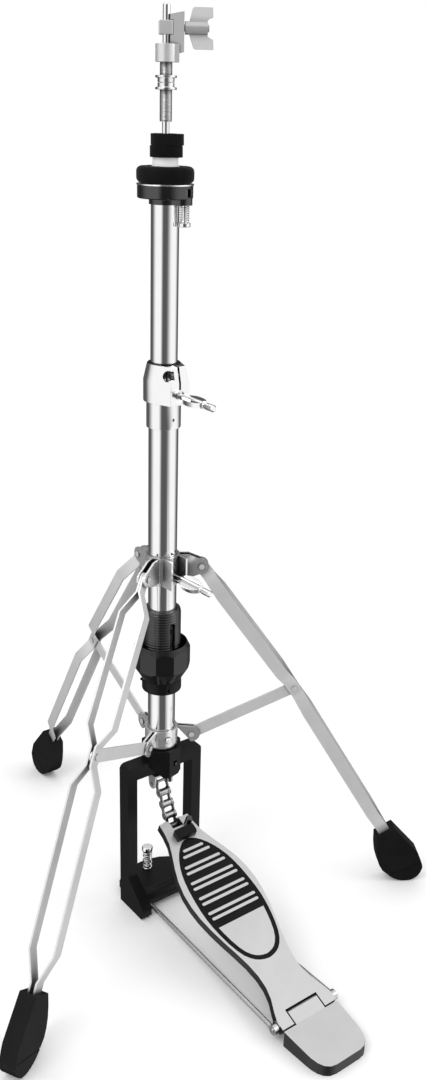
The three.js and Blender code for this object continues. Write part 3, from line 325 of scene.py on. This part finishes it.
def felt_wobble(seed):
    shift = Vector((seed, 2 * seed, 3 * seed))

    def wobble(place):
        coarse = noise.noise(place * 140 + shift)
        fine = noise.noise(place * 900 + shift)
        offset = FELT_LUMP * (0.6 * coarse + 0.4 * fine) - 0.25 * FELT_LUMP
        flat = Vector((place.x, place.y, 0))
        return place + flat.normalized() * offset + Vector((0, 0, 0.4 * FELT_LUMP * coarse - 0.1 * MM))

    return wobble


def make_felt(name, node, body, bore, round_edge, seed, squeeze):
    low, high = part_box(node)
    outer = (high[0] - low[0]) / 2
    profile = felt_profile(bore, outer, low[2] + squeeze, high[2] - squeeze, round_edge)
    mesh = lathe(name, profile, middle(node), 180, felt_wobble(seed))
    new_object(name, mesh, body, "black_felt", node)


make_felt("seat_felt_pad", "seat_felt", "cymbal_seat", 12.8 * MM, 4.6 * MM, 1.0, 0.12 * MM)
make_felt("lower_felt_pad", "loose_felt_lower", "loose_felt_lower", 7.4 * MM, 0.45 * MM, 5.0, -0.04 * MM)
make_felt("upper_felt_pad", "loose_felt_upper", "loose_felt_upper", 7.4 * MM, 0.45 * MM, 9.0, -0.04 * MM)


# ---------------------------------------------------------------- threads


def thread_wave(turns):
    """0 at the root of a thread and 1 at its crest, by turns along it, with softened corners."""
    share = turns - math.floor(turns)
    return 0.5 - 0.5 * math.cos(2 * math.pi * share) ** 3


def threaded_tube(name, inner, crest, depth, pitch, bottom, top, sides=96, per_pitch=7):
    """A tube about +Z with a helical thread outside; all sizes in metres."""
    count = round((top - bottom) / pitch * per_pitch)
    build = bmesh.new()
    rings = []
    for i in range(sides):
        angle = 2 * math.pi * i / sides
        way = Vector((math.cos(angle), math.sin(angle), 0))
        points = [way * inner + Vector((0, 0, z)) for z in (top, (top + bottom) / 2, bottom)]
        for j in range(count + 1):
            z = bottom + (top - bottom) * j / count
            fade = min(1.0, (z - bottom) / pitch, (top - z) / pitch)
            wave = thread_wave((z - bottom) / pitch - angle / (2 * math.pi))
            points.append(way * (crest - depth * (1.0 - wave * fade)) + Vector((0, 0, z)))
        rings.append([build.verts.new(point) for point in points])
    for i in range(sides):
        near, far = rings[i], rings[(i + 1) % sides]
        for j in range(len(near)):
            k = (j + 1) % len(near)
            build.faces.new((near[j], near[k], far[k], far[j]))
    bmesh.ops.recalc_face_normals(build, faces=build.faces)
    mesh = bpy.data.meshes.new(name)
    build.to_mesh(mesh)
    build.free()
    for polygon in mesh.polygons:
        polygon.use_smooth = True
    return mesh


def cut_away(obj, cutters):
    """Subtracts closed meshes from obj and keeps the result as its mesh."""
    helpers = []
    for mesh in cutters:
        helper = bpy.data.objects.new("cutter", mesh)
        bpy.context.collection.objects.link(helper)
        helpers.append(helper)
        cut = obj.modifiers.new("cut", "BOOLEAN")
        cut.operation = "DIFFERENCE"
        cut.solver = "EXACT"
        cut.object = helper
    graph = bpy.context.evaluated_depsgraph_get()
    result = bpy.data.meshes.new_from_object(obj.evaluated_get(graph))
    obj.modifiers.clear()
    obj.data = result
    for helper in helpers:
        bpy.data.objects.remove(helper)


def stadium_bar(half_width, low, high, near, far, steps=12):
    """A bar along Y whose section is a tall slot with round ends."""
    outline = []
    for centre, start in ((high - half_width, 0), (low + half_width, 180)):
        for i in range(steps + 1):
            angle = math.radians(start + 180 * i / steps)
            outline.append((half_width * math.cos(angle), centre + half_width * math.sin(angle)))
    build = bmesh.new()
    ends = [[build.verts.new((x, y, z)) for x, z in outline] for y in (near, far)]
    count = len(outline)
    for i in range(count):
        k = (i + 1) % count
        build.faces.new((ends[0][i], ends[0][k], ends[1][k], ends[1][i]))
    build.faces.new(ends[0])
    build.faces.new(list(reversed(ends[1])))
    bmesh.ops.recalc_face_normals(build, faces=build.faces)
    mesh = bpy.data.meshes.new("slot")
    build.to_mesh(mesh)
    build.free()
    return mesh


def rod_mesh(start, end, radius, sides=24, round_edge=0.0):
    """A closed round bar between two points, its far edge rounded."""
    start, end = Vector(start), Vector(end)
    length = (end - start).length
    profile = [(radius, 0.0)]
    for i in range(5):
        angle = math.radians(90 * i / 4)
        inwards, back = 1 - math.cos(angle), 1 - math.sin(angle)
        profile.append((radius - round_edge * inwards, length - round_edge * back))
    turn = (end - start).to_track_quat("Z", "Y").to_matrix()
    build = bmesh.new()
    rings = []
    for r, z in profile if round_edge else [(radius, 0.0), (radius, length)]:
        rings.append([
            build.verts.new(start + turn @ Vector(
                (r * math.cos(2 * math.pi * i / sides), r * math.sin(2 * math.pi * i / sides), z)))
            for i in range(sides)
        ])
    for low, high in zip(rings, rings[1:]):
        for i in range(sides):
            k = (i + 1) % sides
            build.faces.new((low[i], low[k], high[k], high[i]))
    build.faces.new(list(reversed(rings[0])))
    build.faces.new(rings[-1])
    mesh = bpy.data.meshes.new("rod")
    build.to_mesh(mesh)
    build.free()
    return mesh


def radial_rod(degrees, height, near, far, radius, round_edge=0.0):
    """A bar that points out from the tube; sizes in millimetres."""
    way = Vector((math.cos(math.radians(degrees)), math.sin(math.radians(degrees)), 0)) * MM
    lift = Vector((0, 0, height * MM))
    return rod_mesh(way * near + lift, way * far + lift, radius * MM, round_edge=round_edge * MM)


SLEEVE = {"inner": 14.65, "crest": 19.4, "depth": 1.1, "pitch": 2.9, "bottom": 269.0, "top": 347.4}
SLEEVE_BASE = {"radius": 20.5, "bottom": 256.5, "edge": 0.6}
SLOT = {"half_width": 3.0, "bottom": 283.0, "top": 336.0}


def make_sleeve():
    """The spring adjuster's sleeve: a foot with a nub and a screw hole, and a slotted thread above it."""
    thread_size = [value * MM for value in SLEEVE.values()]
    mesh = threaded_tube("sleeve_thread", *thread_size)
    thread = new_object("sleeve_thread", mesh, "base", "black_plastic", look="polished_plastic")
    slot = [value * MM for value in SLOT.values()]
    cut_away(thread, [stadium_bar(*slot, -30 * MM, 30 * MM)])
    inner, outer = SLEEVE["inner"], SLEEVE_BASE["radius"]
    low, high, edge = SLEEVE_BASE["bottom"], SLEEVE["bottom"], SLEEVE_BASE["edge"]
    profile = [
        (inner, high), (inner, low), (outer - edge, low), (outer - 0.3 * edge, low + 0.3 * edge),
        (outer, low + edge), (outer, high - edge),
        (outer - 0.3 * edge, high - 0.3 * edge), (outer - edge, high),
    ]
    mesh = lathe("sleeve_base", [(r * MM, z * MM) for r, z in profile], (0, 0), 120)
    base = new_object("sleeve_base", mesh, "base", "black_plastic", "tension_sleeve")
    cut_away(base, [radial_rod(-104, 261, 16, 24, 1.5)])
    nub = new_object("sleeve_nub", radial_rod(145, 265, 20.2, 22.2, 1.5, 0.5), "base", "black_plastic")
    nub.data.shade_smooth()


CLUTCH_THREAD = {"inner": 4.7, "crest": 5.42, "depth": 0.27, "pitch": 1.0, "bottom": 807.2, "top": 853.6}


def make_clutch_thread():
    size = [value * MM for value in CLUTCH_THREAD.values()]
    mesh = threaded_tube("clutch_thread", *size, sides=48)
    new_object("clutch_thread", mesh, "clutch", "chrome", look="link_steel")


make_clutch_thread()


# ---------------------------------------------------------------- springs


def spring_mesh(name, radius, wire, bottom, top, turns, centre, per_turn=30, sides=10):
    """A round wire wound about +Z, with its first and last turns closed up."""
    closed = 0.8
    low, high = bottom + wire, top - wire
    slope = (high - low - 2 * closed * 2 * wire) / (turns - 2 * closed)
    count = round(turns * per_turn)
    build = bmesh.new()
    rings = []
    for i in range(count + 1):
        turn = turns * i / count
        if turn < closed:
            z = low + 2 * wire * turn
        elif turn > turns - closed:
            z = high - 2 * wire * (turns - turn)
        else:
            z = low + 2 * wire * closed + slope * (turn - closed)
        angle = 2 * math.pi * turn
        out = Vector((math.cos(angle), math.sin(angle), 0))
        middle_point = out * radius + Vector((centre[0], centre[1], z))
        ring = []
        for j in range(sides):
            around = 2 * math.pi * j / sides
            way = out * math.cos(around) + Vector((0, 0, math.sin(around)))
            ring.append(build.verts.new(middle_point + way * wire))
        rings.append(ring)
    for near, far in zip(rings, rings[1:]):
        for j in range(sides):
            k = (j + 1) % sides
            build.faces.new((near[j], near[k], far[k], far[j]))
    build.faces.new(rings[0])
    build.faces.new(list(reversed(rings[-1])))
    bmesh.ops.recalc_face_normals(build, faces=build.faces)
    mesh = bpy.data.meshes.new(name)
    build.to_mesh(mesh)
    build.free()
    for polygon in mesh.polygons:
        polygon.use_smooth = True
    return mesh


def make_spring(name, node, body, radius, wire, turns, look="steel"):
    low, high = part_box(node)
    mesh = spring_mesh(name, radius * MM, wire * MM, low[2], high[2], turns, middle(node))
    return new_object(name, mesh, body, "steel", node, look=look)


anchor = make_spring("anchor_spring_wire", "anchor_spring", "base", 4.6, 0.75, 5.0, "bright_steel")
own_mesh(anchor)
make_spring("tilt_spring_wire", "tilt_spring", "upper_tube", 3.8, 0.55, 7.5, "bright_steel")
inside = make_spring("return_spring_wire", "return_spring", "spring_seat", 10.0, 1.1, 9.5)
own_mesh(inside)


# ---------------------------------------------------------------- room, light and camera


FLOOR_CLEAR = (0.55, 1.3)  # metres from the stand over which the floor fades to plain white


def make_floor():
    mesh = bpy.data.meshes.new("floor")
    size = 40.0
    corners = [(-size, -size, 0), (size, -size, 0), (size, size, 0), (-size, size, 0)]
    mesh.from_pydata(corners, [], [(0, 1, 2, 3)])
    floor = bpy.data.objects.new("floor", mesh)
    bpy.context.collection.objects.link(floor)
    material, tree, shader, _ = surface("floor", (0.95, 0.95, 0.95), 0.0, (0.6, 0.7), 8.0, spots=0.01)
    place = tree.add("ShaderNodeNewGeometry")
    reach = tree.add("ShaderNodeVectorMath", operation="LENGTH")
    tree.link(place.outputs["Position"], reach.inputs[0])
    far = tree.spread(reach.outputs["Value"], 0.0, 1.0, *FLOOR_CLEAR)
    glow = tree.add("ShaderNodeEmission", Strength=1.0)
    mix = tree.add("ShaderNodeMixShader")
    tree.link(far, mix.inputs["Fac"])
    tree.link(shader.outputs["BSDF"], mix.inputs[1])
    tree.link(glow.outputs["Emission"], mix.inputs[2])
    out = next(node for node in tree.tree.nodes if node.type == "OUTPUT_MATERIAL")
    tree.link(mix.outputs["Shader"], out.inputs["Surface"])
    floor.data.materials.append(material)
    floor.visible_glossy = False


YAW = math.radians(-34.58)
CAMERA = {"distance": 1.008, "height": 0.818, "pitch": 21.48, "pan": 2.83, "roll": 1.46, "lens": 36.5}


def make_camera():
    right = Vector((math.cos(YAW), math.sin(YAW), 0))
    ahead = Vector((-math.sin(YAW), math.cos(YAW), 0))
    pan, pitch = math.radians(CAMERA["pan"]), math.radians(CAMERA["pitch"])
    level = ahead * math.cos(pan) + right * math.sin(pan)
    look = level * math.cos(pitch) - Vector((0, 0, math.sin(pitch)))
    data = bpy.data.cameras.new("camera")
    data.sensor_fit = "VERTICAL"
    data.sensor_height = 36.0
    data.lens = CAMERA["lens"]
    data.clip_end = 50.0
    camera = bpy.data.objects.new("camera", data)
    bpy.context.collection.objects.link(camera)
    turn = look.to_track_quat("-Z", "Y").to_matrix().to_4x4()
    place = Matrix.Translation(-ahead * CAMERA["distance"] + Vector((0, 0, CAMERA["height"])))
    camera.matrix_world = place @ turn @ Matrix.Rotation(math.radians(CAMERA["roll"]), 4, "Z")
    bpy.context.scene.camera = camera


# What polished metal reflects: a dim room, and a tall softbox on each side of the camera.
ROOM = 0.1
# Degrees round from the camera, to its right: where a softbox starts, is full, starts to fade and ends.
SOFTBOXES = [(-120, -70, -35, -10), (15, 65, 95, 140)]


def make_world():
    world = bpy.data.worlds.new("studio")
    bpy.context.scene.world = world
    world.use_nodes = True
    tree = Tree(world.node_tree)
    out = tree.add("ShaderNodeOutputWorld")
    place = tree.add("ShaderNodeTexCoord")
    split = tree.add("ShaderNodeSeparateXYZ")
    tree.link(place.outputs["Generated"], split.inputs["Vector"])
    round_angle = tree.add("ShaderNodeMath", operation="ARCTAN2")
    tree.link(split.outputs["Y"], round_angle.inputs[0])
    tree.link(split.outputs["X"], round_angle.inputs[1])
    towards_camera = math.atan2(-math.cos(YAW), math.sin(YAW))
    turns = tree.add("ShaderNodeMath", operation="MULTIPLY_ADD")
    tree.link(round_angle.outputs[0], turns.inputs[0])
    turns.inputs[1].default_value = 0.5 / math.pi
    turns.inputs[2].default_value = 0.5 - towards_camera * 0.5 / math.pi
    share = tree.add("ShaderNodeMath", operation="FRACT")
    tree.link(turns.outputs[0], share.inputs[0])
    ramp = tree.add("ShaderNodeValToRGB")
    ramp.color_ramp.interpolation = "EASE"
    for element in ramp.color_ramp.elements:
        element.color = (ROOM, ROOM, ROOM, 1)
    for start, full, fading, end in SOFTBOXES:
        for degrees, value in ((start, ROOM), (full, 1.0), (fading, 1.0), (end, ROOM)):
            element = ramp.color_ramp.elements.new(degrees / 360 + 0.5)
            element.color = (value, value, value, 1)
    tree.link(share.outputs[0], ramp.inputs["Fac"])
    height = tree.spread(split.outputs["Z"], 0.0, 1.0, 0.35, 0.75)
    sky = tree.blend(height, ramp.outputs["Color"], (1.0, 1.0, 1.0))
    studio = tree.blend(tree.spread(split.outputs["Z"], 0.0, 1.0, -0.95, -0.72), (0.06, 0.06, 0.06), sky)
    rays = tree.add("ShaderNodeLightPath")
    sheet = tree.blend(rays.outputs["Is Glossy Ray"], (1.0, 1.0, 1.0), studio)
    background = tree.add("ShaderNodeBackground", Strength=1.0)
    tree.link(sheet, background.inputs["Color"])
    tree.link(background.outputs["Background"], out.inputs["Surface"])


def make_light(name, place, size, power):
    data = bpy.data.lights.new(name, "AREA")
    data.shape = "DISK"
    data.size = size
    data.energy = power
    light = bpy.data.objects.new(name, data)
    light.location = place
    light.rotation_euler = (Vector((0, 0, 0.4)) - Vector(place)).to_track_quat("-Z", "Y").to_euler()
    bpy.context.collection.objects.link(light)


make_sleeve()
make_floor()
make_camera()
make_world()
make_light("key_light", (-1.6, -0.4, 2.2), 1.2, 14)
make_light("fill_light", (1.5, -1.4, 1.6), 1.4, 8)
bpy.context.scene.view_settings.view_transform = "Standard"
